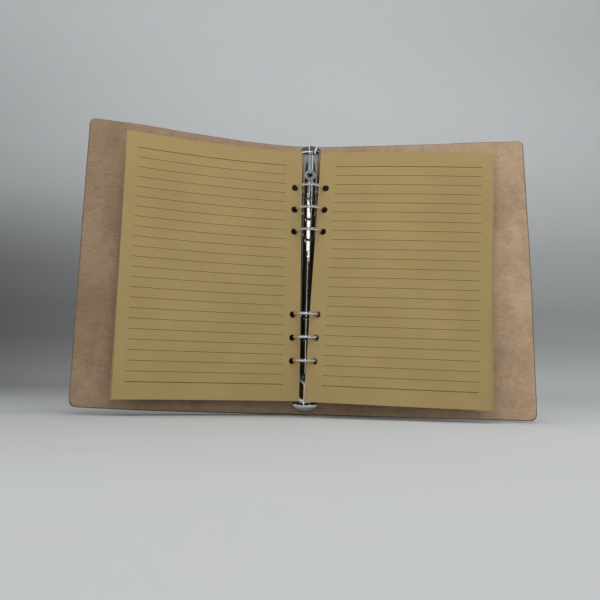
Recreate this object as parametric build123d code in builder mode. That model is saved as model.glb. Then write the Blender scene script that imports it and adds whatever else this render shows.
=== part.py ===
from build123d import *
from math import asin, cos, degrees, radians, sin
import os

# A six-ring A5 organiser binder standing on its bottom edge, its leather cover open in a wide V.
# Millimetres. Z runs up the spine, X to the right and Y to the back. The origin is on the bottom
# edge of the spine, in the middle of the leather's thickness. The reader is on the -Y side.

# ---- Driving dimensions -------------------------------------------------------------------

# Leather cover: one hide, modelled as a spine strip and two boards that fold about its edges.
leather_thickness = 2.8
cover_height = 234.4
spine_fold_half = 15.0         # from the middle of the spine to each fold line
cover_width = 171.0            # from a fold line to the outer edge
cover_corner_radius = 5.0
cover_edge_ease = 0.4
fold_gap = 0.35                # between the round edge of the spine and a board
left_cover_angle = 17.0        # how far each board stands forward of flat
right_cover_angle = 7.2

# Ring mechanism: housing, two blades, twelve half rings, two levers.
pattern_centre = 117.9         # height of the middle of the ring pattern
ring_pitch = 19.0              # inside each group of three
group_pitch = 108.0            # between the middle rings of the two groups
ring_axis_y = -15.8
ring_radius = 11.3             # of the wire's centre line, so the rings are 20 mm inside
wire_radius = 1.3
tip_gap = 0.12                 # between the two halves of a closed ring
tip_pin_radius = 0.45
tip_pin_length = 0.5
tip_socket_radius = 0.65
tip_socket_depth = 0.78
tip_pin_root = 0.2             # how far the pin starts inside its own wire
tip_face_cut = 0.02            # how far the socket's cutter starts outside its wire
ring_sweep_angle = 140.0       # from the tip round to where the wire leaves the circle
spigot_radius = 0.8
spigot_peen = 0.2

housing_length = 213.0
housing_half_width = 7.2
housing_height = 5.3
housing_sheet = 0.8
housing_seat = 0.02            # between the housing's edges and the leather
lip_x = 5.85                   # from the middle of the housing to the middle of a lip
lip_width = 1.7
lip_thickness = 0.7
slot_radius = wire_radius + 0.5
slot_x = 5.0                   # where the wire passes through the side of the housing
slot_reach = 3.0               # how far a slot's cutter goes to each side of the sheet

blade_half_width = 5.2
blade_thickness = 1.0
blade_lift = 1.7               # from the leather to the back of the blades
blade_centre_gap = 0.15
blade_end_gap = 4.1            # from the end of the housing to the end of a blade
blade_edge_flat = 0.02         # left between the two roundings of a blade's outer edge
blade_notch_gap = 0.7          # round a rivet's tube
spigot_gap = 0.02

rivet_spread = 88.0            # each rivet's distance from the middle of the pattern
boss_radius = 4.75
boss_rise = 0.35
boss_depth = 1.7               # from the front of the boss to where it ends in the crown
dish_radius = 3.9
dish_depth = 0.45
rivet_bore_radius = 1.8
rivet_tube_radius = 2.4
rivet_flange_radius = 3.6
rivet_funnel_radius = 3.3
rivet_funnel_depth = 1.1
rivet_flange_sink = 0.05       # the flange's face is this far behind the face of the boss
rivet_dish_gap = 0.02          # between the flange and the bottom of the dish
rivet_back_radius = 3.3
rivet_hole_radius = 2.5
washer_radius = 4.5
washer_thickness = 0.6
rivet_roll = 0.5               # how far the rolled end stands behind the washer

lever_pin_inset = 3.0          # from the end of the housing to the lever's pin
lever_pin_radius = 0.9
pin_clearance = 0.05
lever_pin_half_length = 6.85
lever_pin_lift = 1.5           # from the leather to the pin's axis
lever_hub_half_width = 4.6
lever_hub_half_depth = 0.8
lever_hub_front_y = -1.4       # from the pin's axis
lever_hub_back_reach = 0.6
lever_hub_front_reach = (1.0, 2.2)
lever_finger_half_width = 1.0
lever_finger_reach = 2.0
lever_finger_thickness = 0.75
neck_start = 3.5               # from the pin, outwards
neck_end = 5.2
neck_half_width = 6.35
neck_height = 5.5
neck_back_lift = 2.1
neck_overlap = 0.1
hub_end = 4.2                  # from the pin, outwards
tab_start = 4.0
tab_height = 7.0
tab_half_width = 10.3
tab_dome_radius = 21.0
tab_arc_radius = 10.3          # of the dome along the tab; tab_dome_radius is across it
tab_flare = 13.0               # how far the root of the tab leans forward
tab_arc_margin = 3.0           # the arc is drawn this far past the tab at both ends
tab_arc_sweep = 60.0
tab_sheet = 1.0
tab_front_y = -7.45

# Sheets: A5 writing paper trimmed at the inner edge and punched with six holes.
sheet_width = 144.0
sheet_height = 210.0
sheet_hole_radius = 3.0
sheet_hole_inset = 6.0         # from the inner edge to the hole line
sheet_hole_reach = 12.2        # from the ring axis to the hole line
sheet_sag = 0.7                # the sheets hang this far down on the wires
stack_offset = 2.0             # from the ring axis to the middle of a stack
stack_thickness = 2.0
leaf_offset = 0.65
leaf_thickness = 0.2
left_page_angle = 15.8
right_page_angle = 8.0

# ---- Worked out ---------------------------------------------------------------------------

leather_front = -leather_thickness / 2
leather_back = leather_thickness / 2
middle_rings = (pattern_centre - group_pitch / 2, pattern_centre + group_pitch / 2)
ring_heights = [middle + step * ring_pitch for middle in middle_rings for step in (-1, 0, 1)]
rivet_heights = [pattern_centre - rivet_spread, pattern_centre + rivet_spread]
housing_start = pattern_centre - housing_length / 2
housing_base = leather_front - housing_seat
crown_y = housing_base - housing_height
blade_back = leather_front - blade_lift
blade_front = blade_back - blade_thickness
blade_length = housing_length - 2 * blade_end_gap
pin_y = leather_front - lever_pin_lift
pin_distance = housing_length / 2 - lever_pin_inset
pin_y_to_neck = leather_front - neck_back_lift - pin_y
finger_depth = lever_hub_half_depth - lever_finger_thickness / 2
dome_axis_y = tab_front_y + tab_dome_radius

# The wire leaves its circle along a tangent and runs straight to the front of the blade.
circle_end_x = ring_radius * sin(radians(ring_sweep_angle))
circle_end_y = ring_axis_y - ring_radius * cos(radians(ring_sweep_angle))
foot_inward = -cos(radians(ring_sweep_angle))
foot_backward = sin(radians(ring_sweep_angle))
foot_length = (blade_front - circle_end_y) / foot_backward
foot_x = circle_end_x - foot_length * foot_inward
slot_y = circle_end_y + (circle_end_x - slot_x) / foot_inward * foot_backward

sides = (("left", -1), ("right", 1))
ends = (("bottom", -1), ("top", 1))

os.makedirs("parts", exist_ok=True)


# ---- Leather cover ------------------------------------------------------------------------

# The spine strip has round edges about the two fold lines, and a hole for each rivet.
with BuildPart() as leather_spine:
    with BuildSketch(Plane.XY):
        SlotCenterToCenter(2 * spine_fold_half, leather_thickness)
    extrude(amount=cover_height)
    with BuildSketch(Plane.XZ):
        with Locations([(0, height) for height in rivet_heights]):
            Circle(rivet_hole_radius)
    extrude(amount=leather_thickness, both=True, mode=Mode.SUBTRACT)
leather_spine.part.label = "leather_spine"
export_step(leather_spine.part, "parts/leather_spine.step")


# Each board is flat, with its two outer corners rounded and all its edges eased. Its middle
# plane has x running outwards from the fold line and y running up.
board_start = leather_thickness / 2 + fold_gap
boards = (
    ("leather_front_cover", -1, left_cover_angle),
    ("leather_back_cover", 1, right_cover_angle),
)
for board_name, side, angle in boards:
    outward = Vector(side * cos(radians(angle)), -sin(radians(angle)), 0)
    middle_plane = Plane(
        origin=(side * spine_fold_half, 0, 0),
        x_dir=outward,
        z_dir=outward.cross(Vector(0, 0, 1)),
    )
    with BuildPart() as board:
        with BuildSketch(middle_plane) as outline:
            with Locations((board_start, 0)):
                Rectangle(
                    cover_width - board_start, cover_height, align=(Align.MIN, Align.MIN)
                )
            fillet(outline.vertices().group_by(Axis.X)[-1], cover_corner_radius)
        extrude(amount=leather_thickness / 2, both=True)
        chamfer(board.faces().sort_by(SortBy.AREA)[-2:].edges(), cover_edge_ease)
    board.part.label = board_name
    export_step(board.part, f"parts/{board_name}.step")


# ---- Ring housing -------------------------------------------------------------------------

# A long sprung-steel channel, half an ellipse in section, with lips that catch the blades.
with BuildPart() as ring_housing:
    with BuildSketch(Plane.XY.offset(housing_start)):
        with Locations((0, housing_base)):
            Ellipse(housing_half_width, housing_height)
            Ellipse(
                housing_half_width - housing_sheet,
                housing_height - housing_sheet,
                mode=Mode.SUBTRACT,
            )
            Rectangle(
                3 * housing_half_width,
                2 * housing_height,
                align=(Align.CENTER, Align.MIN),
                mode=Mode.SUBTRACT,
            )
    extrude(amount=housing_length)

    # Lips turned in along both edges, as far as the blades reach
    with BuildSketch(Plane.XY.offset(pattern_centre - blade_length / 2)):
        with Locations((-lip_x, housing_base), (lip_x, housing_base)):
            Rectangle(lip_width, lip_thickness, align=(Align.CENTER, Align.MAX))
    extrude(amount=blade_length)

    # A raised boss with a dished face carries each rivet.
    boss_front = -(crown_y - boss_rise)
    for height in rivet_heights:
        with BuildSketch(Plane.XZ.offset(boss_front)):
            with Locations((0, height)):
                Circle(boss_radius)
        extrude(amount=-boss_depth)
        with BuildSketch(Plane.XZ.offset(boss_front)):
            with Locations((0, height)):
                Circle(dish_radius)
        extrude(amount=-dish_depth, mode=Mode.SUBTRACT)
        with BuildSketch(Plane.XZ):
            with Locations((0, height)):
                Circle(rivet_hole_radius)
        extrude(amount=2 * housing_height, mode=Mode.SUBTRACT)

    # Each ring leg enters through a slot in the side of the housing.
    for _, side in sides:
        for height in ring_heights:
            leg_direction = (-side * foot_inward, foot_backward, 0)
            with BuildSketch(Plane(origin=(side * slot_x, slot_y, height), z_dir=leg_direction)):
                Circle(slot_radius)
            extrude(amount=slot_reach, both=True, mode=Mode.SUBTRACT)

    # The levers' pins turn in holes through both sides.
    for _, end in ends:
        with BuildSketch(Plane.YZ):
            with Locations((pin_y, pattern_centre + end * pin_distance)):
                Circle(lever_pin_radius + pin_clearance)
        extrude(amount=2 * housing_half_width, both=True, mode=Mode.SUBTRACT)
ring_housing.part.label = "ring_housing"
export_step(ring_housing.part, "parts/ring_housing.step")


# ---- Blades -------------------------------------------------------------------------------

# Two strips lie edge to edge under the housing. Each rocks about its round outer edge.
for side_name, side in sides:
    with BuildPart() as blade:
        with BuildSketch(Plane.XZ.offset(-blade_back)):
            with Locations((side * (blade_half_width + blade_centre_gap) / 2, pattern_centre)):
                Rectangle(blade_half_width - blade_centre_gap, blade_length)
            with Locations([(0, height) for height in rivet_heights]):
                Circle(rivet_tube_radius + blade_notch_gap, mode=Mode.SUBTRACT)
            with Locations([(side * foot_x, height) for height in ring_heights]):
                Circle(spigot_radius + spigot_gap, mode=Mode.SUBTRACT)
        extrude(amount=blade_thickness)
        outer_edges = (
            blade.edges().filter_by(Axis.Z).sort_by(Axis((0, 0, 0), (side, 0, 0)))[-2:]
        )
        fillet(outer_edges, (blade_thickness - blade_edge_flat) / 2)
    blade.part.label = f"{side_name}_blade"
    export_step(blade.part, f"parts/{side_name}_blade.step")


# ---- Rings --------------------------------------------------------------------------------

# Six rings, each in two halves. Every half is a round wire with a spigot peened into its blade,
# and the two tips lock: the left one has a pin and the right one a socket.
tip_angle = degrees(asin(tip_gap / 2 / ring_radius))
for side_name, side in sides:
    for number, height in enumerate(ring_heights, start=1):
        with BuildPart() as ring_half:
            with BuildLine(Plane.XY.offset(height)) as wire_path:
                circle_part = CenterArc(
                    (0, ring_axis_y),
                    ring_radius,
                    -90 + side * tip_angle,
                    side * (ring_sweep_angle - tip_angle),
                )
                Line(
                    circle_part @ 1,
                    circle_part @ 1 + (circle_part % 1) * (foot_length + 2 * wire_radius),
                )
            with BuildSketch(Plane(origin=wire_path.line @ 0, z_dir=wire_path.line % 0)):
                Circle(wire_radius)
            sweep()
            split(bisect_by=Plane.XZ.offset(-blade_front), keep=Keep.TOP)
            with BuildSketch(Plane.XZ.offset(-blade_front)):
                with Locations((side * foot_x, height)):
                    Circle(spigot_radius)
            extrude(amount=-(blade_thickness + spigot_peen))
            tip_plane = Plane(
                origin=(side * tip_gap / 2, ring_axis_y - ring_radius, height), z_dir=(1, 0, 0)
            )
            with BuildSketch(tip_plane.offset(-tip_face_cut if side > 0 else -tip_pin_root)):
                Circle(tip_socket_radius if side > 0 else tip_pin_radius)
            if side > 0:
                extrude(amount=tip_socket_depth + tip_face_cut, mode=Mode.SUBTRACT)
            else:
                extrude(amount=tip_pin_length + tip_pin_root)
        ring_half.part.label = f"ring_{number}_{side_name}"
        export_step(ring_half.part, f"parts/ring_{number}_{side_name}.step")


# ---- Levers -------------------------------------------------------------------------------

# A lever closes each end of the housing. Its pin turns in the housing, its finger lies behind
# the blades, and its domed tab is pressed towards the leather to open the rings.
for end_name, end in ends:
    pin_height = pattern_centre + end * pin_distance

    # The tab is half an ellipse seen from the front, domed both across and along.
    with BuildPart() as thumb_tab:
        with BuildSketch(Plane.XZ):
            with Locations((0, pin_height + end * tab_start)):
                Ellipse(tab_half_width, tab_height)
            with Locations((0, pin_height + end * (tab_start - tab_height))):
                Rectangle(3 * tab_half_width, 2 * tab_height, mode=Mode.SUBTRACT)
        extrude(amount=2 * tab_half_width)
        # The dome's profile is drawn behind its upright axis, so the seam is not in the tab.
        arc_middle = (
            dome_axis_y + tab_dome_radius - tab_arc_radius * cos(radians(tab_flare)),
            pin_height + end * (tab_start + tab_arc_radius * sin(radians(tab_flare))),
        )
        arc_start = -end * (tab_flare + tab_arc_margin)
        with BuildSketch(Plane.YZ):
            with BuildLine():
                front_arc = CenterArc(arc_middle, tab_arc_radius, arc_start, end * tab_arc_sweep)
                back_arc = CenterArc(
                    arc_middle, tab_arc_radius - tab_sheet, arc_start, end * tab_arc_sweep
                )
                Line(front_arc @ 0, back_arc @ 0)
                Line(front_arc @ 1, back_arc @ 1)
            make_face()
        revolve(axis=Axis((0, dome_axis_y, 0), (0, 0, 1)), mode=Mode.INTERSECT)

    with BuildPart() as lever:
        # Pin
        with BuildSketch(Plane.YZ):
            with Locations((pin_y, pin_height)):
                Circle(lever_pin_radius)
        extrude(amount=lever_pin_half_length, both=True)

        # Hub, thinned behind so that it clears the leather when the tab is pressed
        hub_outline = (
            (-lever_hub_half_depth, -lever_pin_radius),
            (lever_hub_half_depth, -lever_pin_radius),
            (lever_hub_half_depth, lever_hub_back_reach),
            (pin_y_to_neck, neck_start - neck_overlap),
            (pin_y_to_neck, hub_end),
            (lever_hub_front_y, hub_end),
            (lever_hub_front_y, lever_hub_front_reach[1]),
            (-lever_hub_half_depth, lever_hub_front_reach[0]),
        )
        with BuildSketch(Plane.YZ):
            with BuildLine():
                Polyline(
                    [(pin_y + depth, pin_height + end * reach) for depth, reach in hub_outline],
                    close=True,
                )
            make_face()
        extrude(amount=lever_hub_half_width, both=True)

        # Finger behind the blades
        with BuildSketch(Plane.YZ):
            with Locations((pin_y + finger_depth, pin_height - end * lever_finger_reach / 2)):
                Rectangle(lever_finger_thickness, lever_finger_reach)
        extrude(amount=lever_finger_half_width, both=True)

        # Neck, which carries on the line of the housing
        neck_low = pin_height + (neck_start if end > 0 else -neck_end)
        with BuildSketch(Plane.XY.offset(neck_low)):
            with Locations((0, housing_base)):
                Ellipse(neck_half_width, neck_height)
            with Locations((0, pin_y + pin_y_to_neck)):
                Rectangle(
                    3 * neck_half_width,
                    3 * neck_height,
                    align=(Align.CENTER, Align.MIN),
                    mode=Mode.SUBTRACT,
                )
        extrude(amount=neck_end - neck_start)
        add(thumb_tab.part)
    lever.part.label = f"{end_name}_lever"
    export_step(lever.part, f"parts/{end_name}_lever.step")


# ---- Rivets -------------------------------------------------------------------------------

# Two tubular rivets hold the housing to the spine. Their front ends flare into a funnel and
# their back ends are rolled over a washer.
with BuildPart() as tubular_rivets:
    flange_front = crown_y - boss_rise + rivet_flange_sink
    flange_seat = crown_y - boss_rise + dish_depth - rivet_dish_gap
    washer_back = leather_back + washer_thickness
    for height in rivet_heights:
        with BuildSketch(Plane.XY.offset(height)):
            with BuildLine():
                Polyline(
                    (rivet_bore_radius, flange_front + rivet_funnel_depth),
                    (rivet_funnel_radius, flange_front),
                    (rivet_flange_radius, flange_front),
                    (rivet_flange_radius, flange_seat),
                    (rivet_tube_radius, flange_seat),
                    (rivet_tube_radius, washer_back),
                    (rivet_back_radius, washer_back),
                    (rivet_back_radius, washer_back + rivet_roll),
                    (rivet_bore_radius, washer_back + rivet_roll),
                    close=True,
                )
            make_face()
        revolve(axis=Axis((0, 0, height), (0, 1, 0)))
tubular_rivets.part.label = "tubular_rivets"
export_step(tubular_rivets.part, "parts/tubular_rivets.step")

with BuildPart() as rivet_washers:
    with BuildSketch(Plane.XZ.offset(-leather_back)):
        with Locations([(0, height) for height in rivet_heights]):
            Circle(washer_radius)
            Circle(rivet_hole_radius, mode=Mode.SUBTRACT)
    extrude(amount=-washer_thickness)
rivet_washers.part.label = "rivet_washers"
export_step(rivet_washers.part, "parts/rivet_washers.step")


# ---- Sheets -------------------------------------------------------------------------------

# On each side lie a stack of punched sheets and, on top of it, one sheet that turns by itself.
# All of them hang on the wires, with the hole line close to the sides of the rings.
for side_name, side in sides:
    angle = left_page_angle if side < 0 else right_page_angle
    outward = Vector(side * cos(radians(angle)), -sin(radians(angle)), 0)
    backward = Vector(side * sin(radians(angle)), cos(radians(angle)), 0)
    layers = (
        ("sheet_stack", stack_offset, stack_thickness),
        ("top_sheet", leaf_offset, leaf_thickness),
    )
    for layer_name, offset_back, thickness in layers:
        middle_plane = Plane(
            origin=Vector(0, ring_axis_y, 0) + backward * offset_back,
            x_dir=outward,
            z_dir=outward.cross(Vector(0, 0, 1)),
        )
        with BuildPart() as sheets:
            with BuildSketch(middle_plane):
                with Locations(
                    (
                        sheet_hole_reach - sheet_hole_inset + sheet_width / 2,
                        pattern_centre - sheet_sag,
                    )
                ):
                    Rectangle(sheet_width, sheet_height)
                with Locations([(sheet_hole_reach, height - sheet_sag) for height in ring_heights]):
                    Circle(sheet_hole_radius, mode=Mode.SUBTRACT)
            extrude(amount=thickness / 2, both=True)
        sheets.part.label = f"{side_name}_{layer_name}"
        export_step(sheets.part, f"parts/{side_name}_{layer_name}.step")
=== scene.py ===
import math
import random

import bmesh
import bpy
from mathutils import Matrix, Vector


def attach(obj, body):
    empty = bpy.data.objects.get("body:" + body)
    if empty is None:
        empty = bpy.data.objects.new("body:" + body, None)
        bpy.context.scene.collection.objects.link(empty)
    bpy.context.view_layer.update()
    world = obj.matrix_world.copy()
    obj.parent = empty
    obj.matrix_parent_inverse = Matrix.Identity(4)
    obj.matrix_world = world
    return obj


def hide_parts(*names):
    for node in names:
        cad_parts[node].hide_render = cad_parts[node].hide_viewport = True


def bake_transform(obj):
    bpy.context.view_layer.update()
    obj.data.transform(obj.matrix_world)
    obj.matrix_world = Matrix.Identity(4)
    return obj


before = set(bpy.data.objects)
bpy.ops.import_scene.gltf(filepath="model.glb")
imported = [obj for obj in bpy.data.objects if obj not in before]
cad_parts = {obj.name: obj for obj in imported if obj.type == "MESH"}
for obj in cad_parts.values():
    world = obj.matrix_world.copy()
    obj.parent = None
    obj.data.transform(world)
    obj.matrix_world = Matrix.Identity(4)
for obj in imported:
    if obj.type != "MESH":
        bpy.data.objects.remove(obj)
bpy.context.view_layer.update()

# A six-ring leather binder that stands open on its bottom edge. Metres, in the CAD frame: the
# origin is on the bottom edge of the spine, Z runs up, X to the right, and the reader is on -Y.
MM = 0.001

# ---- Camera and studio --------------------------------------------------------------------
CAMERA_PLACE = (0.6, -471.0, 37.4)    # in millimetres; the turns below are in degrees
CAMERA_PITCH = 7.19
CAMERA_YAW = 0.83
CAMERA_ROLL = 1.42
LENS = 33.14
FLOOR_Z = 0.0
WORLD_STRENGTH = 1.5
CURVE_STEPS = 24               # facets in the curve of the backdrop

# Brightness of the room by direction: from left to right, with two narrow windows, and upwards
SIDE_TO_SIDE = (
    (0.00, 0.22), (0.17, 0.22), (0.22, 0.015), (0.435, 0.015), (0.443, 0.90), (0.458, 0.90),
    (0.466, 0.012), (0.655, 0.012), (0.662, 0.80), (0.695, 0.80), (0.702, 0.02), (0.80, 0.02),
    (0.86, 0.20), (1.00, 0.20),
)
DOWN_TO_UP = ((0.45, 0.0), (0.652, 0.0), (0.668, 0.22), (0.70, 0.22), (0.72, 0.08), (1.0, 0.12))
ROOM_TINT = (0.80, 0.88, 0.92)
PLAIN_BACKGROUND = (0.34, 0.36, 0.365)

# Painted light and shade on the backdrop, on its left and right, from the floor before the object up to
# the wall
LEFT_PAINTED_SHADING = (
    (0.00, 0.36), (0.03, 0.27), (0.07, 0.19), (0.21, 0.09), (0.35, 0.12), (0.43, 0.09),
    (0.474, 0.11), (0.52, 0.17), (0.568, 0.35), (0.60, 0.49), (0.64, 0.56), (0.76, 0.64),
)
RIGHT_PAINTED_SHADING = (
    (0.00, 0.49), (0.03, 0.54), (0.07, 0.60), (0.21, 0.50), (0.36, 0.46), (0.43, 0.32),
    (0.474, 0.30), (0.51, 0.38), (0.568, 0.53), (0.63, 0.60), (0.68, 0.60), (0.76, 0.54),
)

# ---- Leather ------------------------------------------------------------------------------
LEATHER_THICKNESS = 2.8
COVER_HEIGHT = 234.4
SPINE_HALF = 15.0
COVER_WIDTH = 171.0
CORNER_RADIUS = 5.0
FOLD_HALF = 3.0                # half the length of leather that bends at a fold
EDGE_ROUND = 0.9               # how far in from the outline the edge starts to round over
EDGE_STEPS = 6                 # facets in the rounded edge
CORNER_TURN = 10               # degrees from one row to the next in a rounded corner
FOLD_SHARE = 0.16              # share of the width with a fine mesh, which covers the fold
FOLD_COLUMNS = 15
BOARD_COLUMNS = 60
BOARD_ROWS = 60
BROAD_RIPPLE = 0.45            # height of the slow unevenness of a cover
FINE_RIPPLE = 0.25             # and of the quicker one on top of it
GUTTER_MIDDLE = 117.5          # height of the middle of the darker gutter
LEFT_COVER_ANGLE = 17.0
RIGHT_COVER_ANGLE = 7.2

# ---- Sheets -------------------------------------------------------------------------------
SHEET_WIDTH = 144.0
SHEET_HEIGHT = 210.0
SHEET_BOTTOM = 12.2
HOLE_RADIUS = 2.8
HOLE_INSET = 6.0
PATCH_HALF = 4.0               # half the side of the square of mesh round a hole
PATCH_STEPS = 6
RING_AXIS_Y = -15.8
RING_HEIGHTS = (44.9, 63.9, 82.9, 152.9, 171.9, 190.9)
SHEET_DROP = 0.8               # the hole centres are this far below the wires
UNDER_SHEETS = 8
SHEET_PITCH = 0.25
SHEET_THICKNESS = 0.11
SHEET_COLUMNS = 26             # from the hole line's squares to the outer edge
SHEET_ROW = 5.0                # about the height of a row of mesh between two holes
HOLE_REACH = 13.0              # about how far the hole line is from the axis of the rings
FAN_SKEW = -0.09               # outward lean of the top edge, added from sheet to sheet
SKEW_SPREAD = 0.15             # and how far a sheet may differ from that
FAN_SLIDE = 0.07               # outward slide, added from sheet to sheet
SLIDE_SPREAD = 0.1             # and how far a sheet may differ from that

random.seed(7)


def mm(*values):
    """A vector in metres from millimetres."""
    return Vector(values) * MM


# ---- Materials ----------------------------------------------------------------------------
class Nodes:
    """Short ways to add nodes to a material, or to the world."""

    def __init__(self, owner):
        self.owner = owner
        owner.use_nodes = True
        self.tree = owner.node_tree

    @classmethod
    def material(cls, name):
        return cls(bpy.data.materials.new(name))

    def add(self, kind, inputs=None, **settings):
        node = self.tree.nodes.new(kind)
        for key, value in settings.items():
            setattr(node, key, value)
        for key, value in (inputs or {}).items():
            if isinstance(value, bpy.types.NodeSocket):
                self.tree.links.new(value, node.inputs[key])
            else:
                node.inputs[key].default_value = value
        return node

    def math(self, operation, a, b=0.0, clamp=False):
        return self.add("ShaderNodeMath", {0: a, 1: b}, operation=operation, use_clamp=clamp).outputs[0]

    def noise(self, vector, scale, detail=4.0, roughness=0.55, distortion=0.0):
        return self.add(
            "ShaderNodeTexNoise",
            {
                "Vector": vector,
                "Scale": scale,
                "Detail": detail,
                "Roughness": roughness,
                "Distortion": distortion,
            },
        ).outputs["Fac"]

    def ramp(self, factor, *stops):
        """A colour ramp: each stop is a place and a colour or a grey."""
        node = self.add("ShaderNodeValToRGB", {"Fac": factor})
        elements = node.color_ramp.elements
        while len(elements) < len(stops):
            elements.new(0.5)
        for element, (place, colour) in zip(elements, stops):
            element.position = place
            rgb = colour if isinstance(colour, tuple) else (colour, colour, colour)
            element.color = (*rgb, 1.0)
        return node.outputs["Color"]

    def mix(self, factor, a, b, blend="MIX"):
        node = self.add("ShaderNodeMix", data_type="RGBA", blend_type=blend)
        for socket, value in ((node.inputs[0], factor), (node.inputs[6], a), (node.inputs[7], b)):
            if isinstance(value, bpy.types.NodeSocket):
                self.tree.links.new(value, socket)
            else:
                socket.default_value = value if isinstance(value, float) else (*value, 1.0)
        return node.outputs[2]

    def stretched(self, vector, scale):
        return self.add("ShaderNodeMapping", {"Vector": vector, "Scale": scale}).outputs[0]

    def bump(self, height, strength, distance):
        inputs = {"Height": height, "Strength": strength, "Distance": distance}
        return self.add("ShaderNodeBump", inputs).outputs[0]

    def finish(self, shader="Principled BSDF", **inputs):
        """Set the inputs of the shader and hand over the finished material or world."""
        for key, value in inputs.items():
            socket = self.tree.nodes[shader].inputs[key.replace("_", " ")]
            if isinstance(value, bpy.types.NodeSocket):
                self.tree.links.new(value, socket)
            else:
                socket.default_value = value
        return self.owner


def flesh_side():
    """The raw inside of the hide: pinkish beige, finely mottled, with fibres and faint creases."""
    n = Nodes.material("leather_flesh_side")
    flat = n.add("ShaderNodeUVMap").outputs[0]
    clouds = n.noise(flat, 14.0, 4.0, 0.55, 0.3)
    patches = n.noise(n.stretched(flat, (1.0, 0.6, 1.0)), 75.0, 8.0, 0.72, 0.9)
    wisps = n.noise(n.stretched(flat, (0.35, 1.0, 1.0)), 260.0, 5.0, 0.7, 1.6)
    fibres = n.noise(n.stretched(flat, (0.5, 1.4, 1.0)), 900.0, 4.0, 0.7)
    fuzz = n.noise(flat, 2600.0, 3.0, 0.6)
    base = n.ramp(
        clouds,
        (0.30, (0.385, 0.268, 0.176)),
        (0.52, (0.450, 0.322, 0.222)),
        (0.72, (0.505, 0.372, 0.266)),
    )
    colour = n.mix(0.85, base, n.ramp(patches, (0.30, 0.76), (0.5, 0.98), (0.70, 1.12)), "MULTIPLY")
    colour = n.mix(0.80, colour, n.ramp(wisps, (0.30, 0.78), (0.5, 1.0), (0.72, 1.16)), "MULTIPLY")
    colour = n.mix(0.60, colour, n.ramp(fibres, (0.30, 0.78), (0.55, 1.0), (0.8, 1.10)), "MULTIPLY")
    place = n.add("ShaderNodeSeparateXYZ", {0: flat})
    # Painted shade and light across the width: the left cover is painted darker towards its outer edge
    # and the right cover lighter towards its outer edge
    side_light_and_shade = n.ramp(
        n.math("ADD", n.math("MULTIPLY", place.outputs[0], 2.6), 0.5),
        (0.05, (0.72, 0.68, 0.60)),
        (0.50, (0.92, 0.89, 0.83)),
        (0.95, (1.15, 1.10, 1.02)),
    )
    colour = n.mix(1.0, colour, side_light_and_shade, "MULTIPLY")

    # Darker in the gutter, but not at its ends: this stands for the shade of a full stack
    from_fold = n.math("ABSOLUTE", place.outputs[0])
    middle = n.math("SUBTRACT", place.outputs[1], GUTTER_MIDDLE * MM)
    from_middle = n.math("ABSOLUTE", middle)
    near_fold = n.ramp(n.math("MULTIPLY", from_fold, 10.0), (0.30, 1.0), (0.55, 0.0))
    near_middle = n.ramp(n.math("MULTIPLY", from_middle, 8.0), (0.70, 1.0), (0.85, 0.0))
    gutter = n.math("MULTIPLY", near_fold, near_middle)
    colour = n.mix(gutter, colour, (0.040, 0.026, 0.016))
    height = n.math("ADD", n.math("MULTIPLY", fibres, 0.6), n.math("MULTIPLY", fuzz, 0.4))
    height = n.math("ADD", height, n.math("MULTIPLY", patches, 0.9))
    height = n.math("ADD", height, n.math("MULTIPLY", wisps, 0.6))
    return n.finish(
        Base_Color=colour,
        Roughness=0.86,
        Specular_IOR_Level=0.25,
        Sheen_Weight=0.15,
        Sheen_Roughness=0.6,
        Normal=n.bump(height, 0.6, 0.0007),
    )


def grain_side():
    """The outside of the hide: natural vegetable-tanned grain, smooth, with pores and marks."""
    n = Nodes.material("leather_grain_side")
    flat = n.add("ShaderNodeUVMap").outputs[0]
    clouds = n.noise(flat, 14.0, 5.0, 0.55, 0.6)
    wrinkle = n.noise(n.stretched(flat, (1.0, 0.35, 1.0)), 60.0, 6.0, 0.6, 1.2)
    cells = n.add(
        "ShaderNodeTexVoronoi",
        {"Vector": flat, "Scale": 1100.0, "Randomness": 1.0},
        feature="DISTANCE_TO_EDGE",
    ).outputs["Distance"]
    cell = n.ramp(cells, (0.0, 0.0), (0.18, 1.0))
    pores = n.noise(flat, 1500.0, 2.0, 0.5)
    base = n.ramp(
        clouds,
        (0.30, (0.430, 0.262, 0.140)),
        (0.55, (0.520, 0.340, 0.198)),
        (0.75, (0.575, 0.395, 0.245)),
    )
    tone = n.ramp(wrinkle, (0.30, 0.82), (0.6, 1.0), (0.8, 1.05))
    colour = n.mix(0.7, base, tone, "MULTIPLY")
    pore = n.ramp(pores, (0.30, 0.72), (0.42, 1.0))
    colour = n.mix(0.45, colour, pore, "MULTIPLY")
    height = n.math("ADD", n.math("MULTIPLY", cell, 0.5), n.math("MULTIPLY", pore, 0.4))
    height = n.math("ADD", height, n.math("MULTIPLY", wrinkle, 1.4))
    return n.finish(
        Base_Color=colour,
        Roughness=n.math("ADD", n.math("MULTIPLY", clouds, 0.18), 0.40),
        Specular_IOR_Level=0.4,
        Normal=n.bump(height, 0.45, 0.00025),
    )


def burnished_edge():
    """The cut edge of the hide, rubbed smooth and darker."""
    n = Nodes.material("leather_edge")
    place = n.add("ShaderNodeTexCoord").outputs["Object"]
    layers = n.noise(place, 260.0, 5.0, 0.6, 0.3)
    fine = n.noise(place, 2400.0, 3.0, 0.6)
    base = n.ramp(
        layers,
        (0.30, (0.120, 0.062, 0.032)),
        (0.55, (0.215, 0.128, 0.075)),
        (0.75, (0.330, 0.215, 0.135)),
    )
    speck = n.ramp(fine, (0.3, 0.78), (0.7, 1.05))
    return n.finish(
        Base_Color=n.mix(0.6, base, speck, "MULTIPLY"),
        Roughness=n.math("ADD", n.math("MULTIPLY", fine, 0.25), 0.38),
        Normal=n.bump(fine, 0.35, 0.0002),
    )


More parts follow.
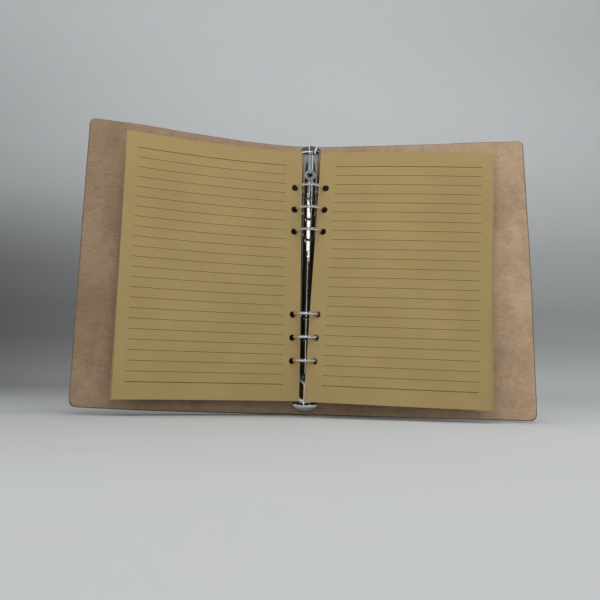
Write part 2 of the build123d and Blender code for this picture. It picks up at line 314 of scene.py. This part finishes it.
def ruled_paper():
    """Kraft writing paper with twenty-four ruled lines, placed by its flat millimetres."""
    n = Nodes.material("ruled_kraft_paper")
    flat = n.add("ShaderNodeUVMap").outputs[0]
    split = n.add("ShaderNodeSeparateXYZ", {0: flat})
    across = n.math("MULTIPLY", split.outputs[0], 1000.0)
    down = n.math("MULTIPLY", split.outputs[1], 1000.0)
    clouds = n.noise(flat, 22.0, 4.0, 0.5)
    fibres = n.noise(n.stretched(flat, (1.0, 0.35, 1.0)), 1500.0, 4.0, 0.65, 0.5)
    fleck = n.noise(n.stretched(flat, (0.6, 1.0, 1.0)), 700.0, 2.0, 0.5, 1.0)
    tooth = n.noise(flat, 3800.0, 2.0, 0.6)
    base = n.ramp(clouds, (0.3, (0.360, 0.258, 0.108)), (0.7, (0.400, 0.290, 0.124)))
    colour = n.mix(0.5, base, n.ramp(fibres, (0.30, 0.82), (0.55, 1.0), (0.75, 1.06)), "MULTIPLY")
    colour = n.mix(0.55, colour, n.ramp(fleck, (0.22, 0.55), (0.30, 1.0)), "MULTIPLY")

    # Distance to the nearest line, in millimetres, and the frame that all the lines end in
    first_line, pitch, span = 13.2, 8.0, 184.0
    start, end = 13.5, 135.0
    phase = n.math("PINGPONG", n.math("SUBTRACT", down, first_line), pitch / 2)
    inside_x = n.math(
        "MULTIPLY", n.math("GREATER_THAN", across, start), n.math("LESS_THAN", across, end)
    )
    inside_y = n.math(
        "MULTIPLY",
        n.math("GREATER_THAN", down, first_line - 0.6),
        n.math("LESS_THAN", down, first_line + span + 0.6),
    )
    thin = n.math("LESS_THAN", phase, 0.22)
    heavy = n.math(
        "ADD",
        n.math("LESS_THAN", n.math("ABSOLUTE", n.math("SUBTRACT", down, first_line)), 0.30),
        n.math("LESS_THAN", n.math("ABSOLUTE", n.math("SUBTRACT", down, first_line + span)), 0.30),
        clamp=True,
    )
    line = n.math("ADD", n.math("MULTIPLY", thin, 0.72), n.math("MULTIPLY", heavy, 0.28), clamp=True)
    line = n.math("MULTIPLY", line, n.math("MULTIPLY", inside_x, inside_y))
    line = n.math("MULTIPLY", line, n.ramp(tooth, (0.25, 0.7), (0.6, 1.0)))
    colour = n.mix(line, colour, (0.030, 0.013, 0.007))
    height = n.math("ADD", fibres, n.math("MULTIPLY", tooth, 0.5))
    return n.finish(
        Base_Color=colour,
        Roughness=0.80,
        Specular_IOR_Level=0.3,
        Normal=n.bump(height, 0.25, 0.00012),
    )


def metal(name, colour, roughness, scratch, stretch):
    """Plated steel with fine scratches along one direction and a faint cloudiness."""
    n = Nodes.material(name)
    place = n.add("ShaderNodeTexCoord").outputs["Object"]
    haze = n.noise(place, 140.0, 3.0, 0.5)
    lines = n.noise(n.stretched(place, stretch), 2200.0, 4.0, 0.7)
    pits = n.noise(place, 5200.0, 2.0, 0.5)
    darker = tuple(0.86 * c for c in colour)
    base = n.mix(n.ramp(haze, (0.3, 0.0), (0.7, 1.0)), darker, colour)
    rough = n.math("ADD", n.math("MULTIPLY", lines, scratch), roughness)
    height = n.math("ADD", lines, n.math("MULTIPLY", n.ramp(pits, (0.25, 0.0), (0.32, 1.0)), 0.3))
    return n.finish(
        Base_Color=base,
        Metallic=1.0,
        Roughness=rough,
        Normal=n.bump(height, 0.08, 0.00003),
    )


# ---- Mesh helpers -------------------------------------------------------------------------
def make_object(name, points, faces, uvs, indices, materials):
    """A mesh object with a UV for each corner and a material index for each face."""
    mesh = bpy.data.meshes.new(name)
    mesh.from_pydata([tuple(p) for p in points], [], faces)
    layer = mesh.uv_layers.new(name="flat")
    for polygon, index in zip(mesh.polygons, indices):
        polygon.material_index = index
        polygon.use_smooth = True
        for loop in polygon.loop_indices:
            layer.data[loop].uv = uvs[mesh.loops[loop].vertex_index]
    for material in materials:
        mesh.materials.append(material)
    piece = bpy.data.objects.new(name, mesh)
    bpy.context.scene.collection.objects.link(piece)
    return piece


def face_outwards(piece, sharp_angle):
    """Turn every face of a closed piece outwards, and keep the edges sharp over an angle."""
    bm = bmesh.new()
    bm.from_mesh(piece.data)
    bmesh.ops.recalc_face_normals(bm, faces=bm.faces)
    bm.to_mesh(piece.data)
    bm.free()
    piece.data.set_sharp_from_angle(angle=math.radians(sharp_angle))
    return piece


# ---- Leather hides ------------------------------------------------------------------------
def smooth(t):
    t = min(1.0, max(0.0, t))
    return t * t * (3 - 2 * t)


class Hide:
    """Half of the hide, from the middle of the spine out to the edge of one cover."""

    STEP = 0.25

    def __init__(self, side, angle, swing, bow, lift, taper):
        self.side = side
        self.swing = swing       # backward wave of the cover, one full wave over its width
        self.bow = bow           # backward bow of the cover
        self.lift = lift         # how far the outer bottom corner has crept up
        self.taper = taper       # how much narrower the cover is at the top
        self.angle = math.radians(angle)
        self.length = SPINE_HALF + COVER_WIDTH
        self.line = [(0.0, 0.0)]
        x = y = 0.0
        for i in range(int(self.length / self.STEP) + 8):
            turn = self.turn((i + 0.5) * self.STEP)
            x += math.cos(turn) * self.STEP
            y -= math.sin(turn) * self.STEP
            self.line.append((x, y))

    def turn(self, u):
        """The direction of the cover at a distance from the middle of the spine."""
        share = smooth((u - SPINE_HALF + FOLD_HALF) / (2 * FOLD_HALF))
        t = min(1.0, max(0.0, (u - SPINE_HALF) / COVER_WIDTH))
        wave = 2 * math.pi * self.swing * math.cos(2 * math.pi * t)
        bow = math.pi * self.bow * math.cos(math.pi * t)
        return share * (self.angle - (wave + bow) / COVER_WIDTH)

    def section(self, u):
        i = min(len(self.line) - 2, int(u / self.STEP))
        f = u / self.STEP - i
        (x0, y0), (x1, y1) = self.line[i], self.line[i + 1]
        return x0 + (x1 - x0) * f, y0 + (y1 - y0) * f

    def point(self, u, v, out):
        """The place of a point of the hide: u across, v up, out towards the reader."""
        t = max(0.0, (u - SPINE_HALF) / COVER_WIDTH)
        x, y = self.section(u)
        turn = self.turn(u)
        broad = math.sin(u / 23.0 + v / 61.0 + self.side) * math.sin(v / 37.0 - u / 90.0)
        fine = math.sin(u / 9.0 - v / 17.0) * smooth(t * 3)
        out += (BROAD_RIPPLE * broad + FINE_RIPPLE * fine) * smooth(t * 4)
        x -= math.sin(turn) * out
        y -= math.cos(turn) * out
        up = v / COVER_HEIGHT
        z = v + t ** 1.6 * (self.lift * (1 - up))
        return Vector((self.side * x, y, z)) * MM

    def reach(self, v):
        """How far the outline goes at a height, with its rounded corners and a slight wave."""
        full = self.length - self.taper * (v / COVER_HEIGHT) ** 2
        full += 0.16 * math.sin(v / 19.0 + self.side) + 0.08 * math.sin(v / 7.3)
        near = min(v, COVER_HEIGHT - v)
        if near >= CORNER_RADIUS:
            return full
        down = CORNER_RADIUS - near
        return full - CORNER_RADIUS + math.sqrt(max(0.0, CORNER_RADIUS ** 2 - down ** 2))

    def build(self, name, materials):
        half = LEATHER_THICKNESS / 2
        arcs = [CORNER_RADIUS * (1 - math.cos(math.radians(a))) for a in range(0, 90, CORNER_TURN)]
        straight = COVER_HEIGHT - 2 * CORNER_RADIUS
        rows = arcs + [CORNER_RADIUS + straight * k / BOARD_ROWS for k in range(BOARD_ROWS + 1)]
        rows += [COVER_HEIGHT - v for v in reversed(arcs)]
        shares = [k / FOLD_COLUMNS * FOLD_SHARE for k in range(FOLD_COLUMNS)]
        shares += [
            FOLD_SHARE + (1 - FOLD_SHARE) * k / BOARD_COLUMNS for k in range(BOARD_COLUMNS + 1)
        ]
        count_u, count_v = len(shares), len(rows)
        middle = COVER_HEIGHT / 2

        def flat(i, j, inset):
            """A grid point in flat millimetres, moved in from the outline by inset."""
            v = rows[j]
            u = shares[i] * self.reach(v)
            if i == count_u - 1:
                u -= inset
            return u, middle + (v - middle) * (1 - inset / middle)

        points, uvs, faces, indices = [], [], [], []
        layers = []
        for out in (half, -half):
            layer = {}
            for j in range(count_v):
                for i in range(count_u):
                    layer[i, j] = len(points)
                    u, v = flat(i, j, EDGE_ROUND)
                    points.append(self.point(u, v, out))
                    uvs.append((self.side * u * MM, v * MM))
            layers.append(layer)
        front, back = layers
        for j in range(count_v - 1):
            for i in range(count_u - 1):
                square = [(i, j), (i + 1, j), (i + 1, j + 1), (i, j + 1)]
                faces.append([front[s] for s in square])
                indices.append(0)
                faces.append([back[s] for s in reversed(square)])
                indices.append(1)

        # The rim runs along the bottom, up the outer edge and back along the top
        rim = [(i, 0) for i in range(count_u)]
        rim += [(count_u - 1, j) for j in range(1, count_v)]
        rim += [(i, count_v - 1) for i in range(count_u - 2, -1, -1)]
        profile = []
        for step in range(1, EDGE_STEPS):
            a = math.pi / 2 * (1 - 2 * step / EDGE_STEPS)
            profile.append((EDGE_ROUND * (1 - math.cos(a)), math.sin(a)))
        loops = [[front[s] for s in rim]]
        for inset, level in profile:
            loop = []
            for i, j in rim:
                u, v = flat(i, j, inset)
                loop.append(len(points))
                points.append(self.point(u, v, half * level))
                uvs.append((self.side * u * MM, v * MM))
            loops.append(loop)
        loops.append([back[s] for s in rim])
        for a, b in zip(loops, loops[1:]):
            for k in range(len(rim) - 1):
                faces.append([a[k], b[k], b[k + 1], a[k + 1]])
                indices.append(2)

        # The cut at the middle of the spine closes the solid
        ends = [loop[0] for loop in loops], [loop[-1] for loop in loops]
        column_front = [front[0, j] for j in range(count_v)]
        column_back = [back[0, j] for j in range(count_v)]
        faces.append(ends[0] + column_back[1:-1] + ends[1][::-1] + column_front[-2:0:-1])
        indices.append(2)
        if self.side < 0:
            faces = [face[::-1] for face in faces]
        piece = make_object(name, points, faces, uvs, indices, materials)
        return face_outwards(piece, 60)


# ---- Sheets -------------------------------------------------------------------------------
class Leaf:
    """How the sheets of one side hang and curve."""

    def __init__(self, side, top, bottom, near, far_top, far_bottom, tilt):
        self.side = side
        self.top = top           # the hole line from the rings' axis, at the top ring
        self.bottom = bottom     # and at the bottom ring
        self.near = near         # direction of the sheet at the hole line, in degrees
        self.far = (far_bottom, far_top)     # and at its outer edge
        self.tilt = math.radians(tilt)

    def point(self, s, v, layer, skew, slide):
        """The place of a point of a sheet: s from the inner edge, v from the bottom."""
        middle = SHEET_HEIGHT / 2
        down, out = v - middle, s - HOLE_INSET
        s = HOLE_INSET + out * math.cos(self.tilt) + down * math.sin(self.tilt) + slide
        s += skew * down / middle
        v = middle + down * math.cos(self.tilt) - out * math.sin(self.tilt)
        z = SHEET_BOTTOM + v
        rise = (z - RING_HEIGHTS[0]) / (RING_HEIGHTS[-1] - RING_HEIGHTS[0])
        hole_x = self.bottom[0] + (self.top[0] - self.bottom[0]) * rise
        hole_y = self.bottom[1] + (self.top[1] - self.bottom[1]) * rise
        back = layer * SHEET_PITCH / HOLE_REACH
        turn = back if self.side > 0 else -back
        x = hole_x * math.cos(turn) - hole_y * math.sin(turn)
        y = hole_x * math.sin(turn) + hole_y * math.cos(turn)
        first = math.radians(self.near)
        last = math.radians(self.far[0] + (self.far[1] - self.far[0]) * v / SHEET_HEIGHT)
        along = s - HOLE_INSET
        length = SHEET_WIDTH - HOLE_INSET
        rate = (last - first) / length
        if abs(rate) < 1e-9:
            dx, dy = along * math.cos(first), along * math.sin(first)
        else:
            dx = (math.sin(first + rate * along) - math.sin(first)) / rate
            dy = (math.cos(first) - math.cos(first + rate * along)) / rate
        x += self.side * dx
        y -= dy
        return Vector((x, RING_AXIS_Y + y, z)) * MM

    def build(self, name, layers, material):
        """Sheets as one object, each a thin closed shell with six real holes."""
        heights = [h - SHEET_DROP - SHEET_BOTTOM for h in RING_HEIGHTS]
        patch = [PATCH_HALF * (2 * k / PATCH_STEPS - 1) for k in range(PATCH_STEPS + 1)]
        columns = [0.0, 1.0] + [HOLE_INSET + p for p in patch]
        edge = columns[-1]
        rest = SHEET_WIDTH - edge
        columns += [edge + rest * (k + 1) / SHEET_COLUMNS for k in range(SHEET_COLUMNS)]
        rows, patch_rows = [], []
        low = 0.0
        for h in heights + [None]:
            high = SHEET_HEIGHT if h is None else h - PATCH_HALF
            steps = max(1, round((high - low) / SHEET_ROW))
            rows += [low + (high - low) * k / steps for k in range(steps)]
            if h is not None:
                patch_rows.append(len(rows))
                rows += [h + p for p in patch[:-1]]
                low = h + PATCH_HALF
        rows.append(SHEET_HEIGHT)
        points, uvs, faces = [], [], []
        for layer in layers:
            skew = FAN_SKEW * layer
            slide = FAN_SLIDE * layer
            if layer:
                skew += random.uniform(-SKEW_SPREAD, SKEW_SPREAD)
                slide += random.uniform(-SLIDE_SPREAD, SLIDE_SPREAD)
            self.shell(points, uvs, faces, columns, rows, patch_rows, heights, (layer, skew, slide))
        piece = make_object(name, points, faces, uvs, [0] * len(faces), [material])
        return face_outwards(piece, 50)

    def shell(self, points, uvs, faces, columns, rows, patch_rows, heights, lie):
        """Add one sheet to the lists: a grid of squares, with a ring of mesh round each hole."""
        layer, skew, slide = lie
        places, squares = [], []
        grid = {}

        def put(s, v):
            places.append((s, v))
            return len(places) - 1

        first_column = 2
        last_column = first_column + PATCH_STEPS
        in_patch = {
            (i, j)
            for start in patch_rows
            for i in range(first_column, last_column)
            for j in range(start, start + PATCH_STEPS)
        }
        hidden = {
            (i, j)
            for start in patch_rows
            for i in range(first_column + 1, last_column)
            for j in range(start + 1, start + PATCH_STEPS)
        }
        for j, v in enumerate(rows):
            for i, s in enumerate(columns):
                if (i, j) not in hidden:
                    grid[i, j] = put(s, v)
        for j in range(len(rows) - 1):
            for i in range(len(columns) - 1):
                if (i, j) not in in_patch:
                    squares.append((grid[i, j], grid[i + 1, j], grid[i + 1, j + 1], grid[i, j + 1]))
        hole_loops = []
        for start, height in zip(patch_rows, heights):
            i0, i1, j0, j1 = first_column, last_column, start, start + PATCH_STEPS
            around = [(i, j0) for i in range(i0, i1)] + [(i1, j) for j in range(j0, j1)]
            around += [(i, j1) for i in range(i1, i0, -1)] + [(i0, j) for j in range(j1, j0, -1)]
            outer = [grid[key] for key in around]
            rings = [outer]
            for share in (0.5, 1.0):
                ring = []
                for index in outer:
                    s, v = places[index]
                    ds, dv = s - HOLE_INSET, v - height
                    scale = HOLE_RADIUS / math.hypot(ds, dv)
                    factor = 1 + (scale - 1) * share
                    ring.append(put(HOLE_INSET + ds * factor, height + dv * factor))
                rings.append(ring)
            for a, b in zip(rings, rings[1:]):
                for k in range(len(outer)):
                    m = (k + 1) % len(outer)
                    squares.append((a[k], a[m], b[m], b[k]))
            hole_loops.append(rings[-1])
        rim = [grid[i, 0] for i in range(len(columns))]
        rim += [grid[len(columns) - 1, j] for j in range(1, len(rows))]
        rim += [grid[i, len(rows) - 1] for i in range(len(columns) - 2, -1, -1)]
        rim += [grid[0, j] for j in range(len(rows) - 2, 0, -1)]

        base = len(points)
        count = len(places)
        for thickness in (0.5, -0.5):
            for s, v in places:
                depth = layer + thickness * SHEET_THICKNESS / SHEET_PITCH
                points.append(self.point(s, v, depth, skew, slide))
                uvs.append((s * MM, v * MM))
        for square in squares:
            faces.append([base + k for k in square])
            faces.append([base + count + k for k in reversed(square)])
        for loop in hole_loops + [rim]:
            for k, a in enumerate(loop):
                b = loop[(k + 1) % len(loop)]
                faces.append([base + a, base + count + a, base + count + b, base + b])


# ---- Build --------------------------------------------------------------------------------
FLESH, GRAIN, EDGE = flesh_side(), grain_side(), burnished_edge()
PAPER = ruled_paper()
NICKEL = metal("polished_nickel", (0.80, 0.79, 0.77), 0.02, 0.04, (1.0, 1.0, 0.04))
RING_NICKEL = metal("ring_nickel", (0.93, 0.92, 0.90), 0.02, 0.05, (0.3, 0.3, 1.0))
BLADE_STEEL = metal("blade_steel", (0.52, 0.52, 0.53), 0.24, 0.22, (1.0, 1.0, 0.03))

left_shape = Hide(side=-1, angle=LEFT_COVER_ANGLE, swing=2.1, bow=1.7, lift=5.3, taper=0.0)
left_hide = left_shape.build("left_hide", [FLESH, GRAIN, EDGE])
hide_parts("leather_front_cover", "leather_spine")
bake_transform(left_hide)

right_shape = Hide(side=1, angle=RIGHT_COVER_ANGLE, swing=0.0, bow=0.8, lift=1.4, taper=5.2)
right_hide = right_shape.build("right_hide", [FLESH, GRAIN, EDGE])
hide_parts("leather_back_cover")
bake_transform(right_hide)

left_leaf = Leaf(
    side=-1,
    top=(-12.6, -2.9),
    bottom=(-11.0, -4.6),
    near=8.5,
    far_top=24.0,
    far_bottom=24.0,
    tilt=0.0,
)
right_leaf = Leaf(
    side=1,
    top=(12.2, -2.9),
    bottom=(7.8, -9.9),
    near=8.0,
    far_top=1.5,
    far_bottom=2.0,
    tilt=1.0,
)
for name, leaf in (("left", left_leaf), ("right", right_leaf)):
    top = leaf.build(f"{name}_leaf_page", [0], PAPER)
    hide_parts(f"{name}_top_sheet")
    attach(top, f"{name}_leaf")
    under = leaf.build(f"{name}_pages", range(1, UNDER_SHEETS + 1), PAPER)
    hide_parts(f"{name}_sheet_stack")
    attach(under, f"{name}_sheets")

for node_name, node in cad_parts.items():
    if node_name.startswith("ring_") and node_name != "ring_housing":
        finish = RING_NICKEL
    elif node_name.endswith("_blade"):
        finish = BLADE_STEEL
    elif node_name.startswith(("leather_", "left_", "right_")):
        continue
    else:
        finish = NICKEL
    node.data.materials.clear()
    node.data.materials.append(finish)

# ---- Floor, backdrop, light and camera ----------------------------------------------------
def backdrop_material():
    """A pale matt sweep, with painted shade where it turns up behind the object, more so on the left.
    """
    n = Nodes.material("pale_sweep")
    flat = n.add("ShaderNodeUVMap").outputs[0]
    split = n.add("ShaderNodeSeparateXYZ", {0: flat})
    along = n.math("ADD", n.math("MULTIPLY", split.outputs[1], 0.4), 0.12)
    fine = n.noise(flat, 30.0, 3.0, 0.5)
    # Painted light and shade: darker on the floor behind the object and where the sweep turns up,
    # lighter up the wall, much darker on the left
    left = n.ramp(along, *LEFT_PAINTED_SHADING)
    right = n.ramp(along, *RIGHT_PAINTED_SHADING)
    across = n.math("ADD", n.math("MULTIPLY", split.outputs[0], 0.62), 0.5, clamp=True)
    colour = n.mix(across, left, right)
    cool = n.ramp(fine, (0.3, (0.94, 0.98, 1.0)), (0.7, (0.98, 1.0, 1.0)))
    colour = n.mix(0.5, colour, cool, "MULTIPLY")
    return n.finish(Base_Color=colour, Roughness=0.75, Specular_IOR_Level=0.3)


def sweep(name, half_width, front_y, turn_y, radius, height):
    """A floor that curves up into a wall."""
    line = [(front_y, FLOOR_Z)]
    for k in range(CURVE_STEPS + 1):
        a = math.pi / 2 * k / CURVE_STEPS
        line.append((turn_y + radius * math.sin(a), FLOOR_Z + radius * (1 - math.cos(a))))
    line.append((turn_y + radius, FLOOR_Z + height))
    points, uvs, faces = [], [], []
    for y, z in line:
        for side in (-1, 1):
            points.append((side * half_width, y, z))
            uvs.append((side * half_width, y + z))
    for k in range(len(line) - 1):
        faces.append([2 * k, 2 * k + 1, 2 * k + 3, 2 * k + 2])
    piece = make_object(name, points, faces, uvs, [0] * len(faces), [backdrop_material()])


def area_light(name, place, target, size, power, colour=(1.0, 1.0, 1.0)):
    lamp = bpy.data.lights.new(name, "AREA")
    lamp.shape = "RECTANGLE"
    lamp.size, lamp.size_y = size
    lamp.energy = power
    lamp.color = colour
    thing = bpy.data.objects.new(name, lamp)
    thing.location = place
    thing.rotation_euler = (Vector(target) - Vector(place)).to_track_quat("-Z", "Y").to_euler()
    bpy.context.scene.collection.objects.link(thing)
    return thing


sweep("studio_sweep", 5.0, -1.5, 0.45, 0.30, 3.0)
for lamp_name, lamp_place, lamp_target, lamp_size, lamp_power in (
    ("top_light", (0.0, -0.26, 0.74), (0.0, 0.0, 0.12), (1.0, 0.7), 5.2),
    ("wall_light", (0.25, 0.00, 2.10), (0.25, 0.75, 1.10), (3.0, 0.3), 26.0),
    ("low_fill", (0.0, -1.00, 0.22), (0.0, 0.0, 0.10), (1.2, 0.35), 2.2),
):
    area_light(lamp_name, lamp_place, lamp_target, lamp_size, lamp_power).visible_glossy = False
area_light("window", (-0.42, -1.10, 0.48), (0.0, 0.0, 0.17), (1.5, 0.16), 0.9, (0.96, 1.0, 1.0))


def studio_world():
    """A soft room, dark in front where the reader is. A camera sees it as plain and pale."""
    n = Nodes(bpy.data.worlds.new("studio_world"))
    direction = n.add("ShaderNodeTexCoord").outputs["Generated"]
    split = n.add("ShaderNodeSeparateXYZ", {0: direction})
    ramps = []
    for axis, stops in ((0, SIDE_TO_SIDE), (2, DOWN_TO_UP)):
        place = n.math("ADD", n.math("MULTIPLY", split.outputs[axis], 0.5), 0.5)
        ramps.append(n.ramp(place, *stops))
    room = n.mix(1.0, *ramps, "LIGHTEN")
    room = n.mix(1.0, room, ROOM_TINT, "MULTIPLY")
    camera_ray = n.add("ShaderNodeLightPath").outputs["Is Camera Ray"]
    seen = n.mix(camera_ray, room, PLAIN_BACKGROUND)
    return n.finish("Background", Color=seen, Strength=WORLD_STRENGTH)


bpy.context.scene.world = studio_world()
bpy.context.scene.view_settings.view_transform = "Standard"

camera_data = bpy.data.cameras.new("camera")
camera_data.lens = LENS
camera_data.sensor_width = 36.0
camera_data.clip_start = 0.01
camera = bpy.data.objects.new("camera", camera_data)
turns = (
    Matrix.Rotation(math.radians(CAMERA_YAW), 4, "Z")
    @ Matrix.Rotation(math.radians(90 + CAMERA_PITCH), 4, "X")
    @ Matrix.Rotation(math.radians(CAMERA_ROLL), 4, "Z")
)
camera.matrix_world = Matrix.Translation(mm(*CAMERA_PLACE)) @ turns
bpy.context.scene.collection.objects.link(camera)
bpy.context.scene.camera = camera
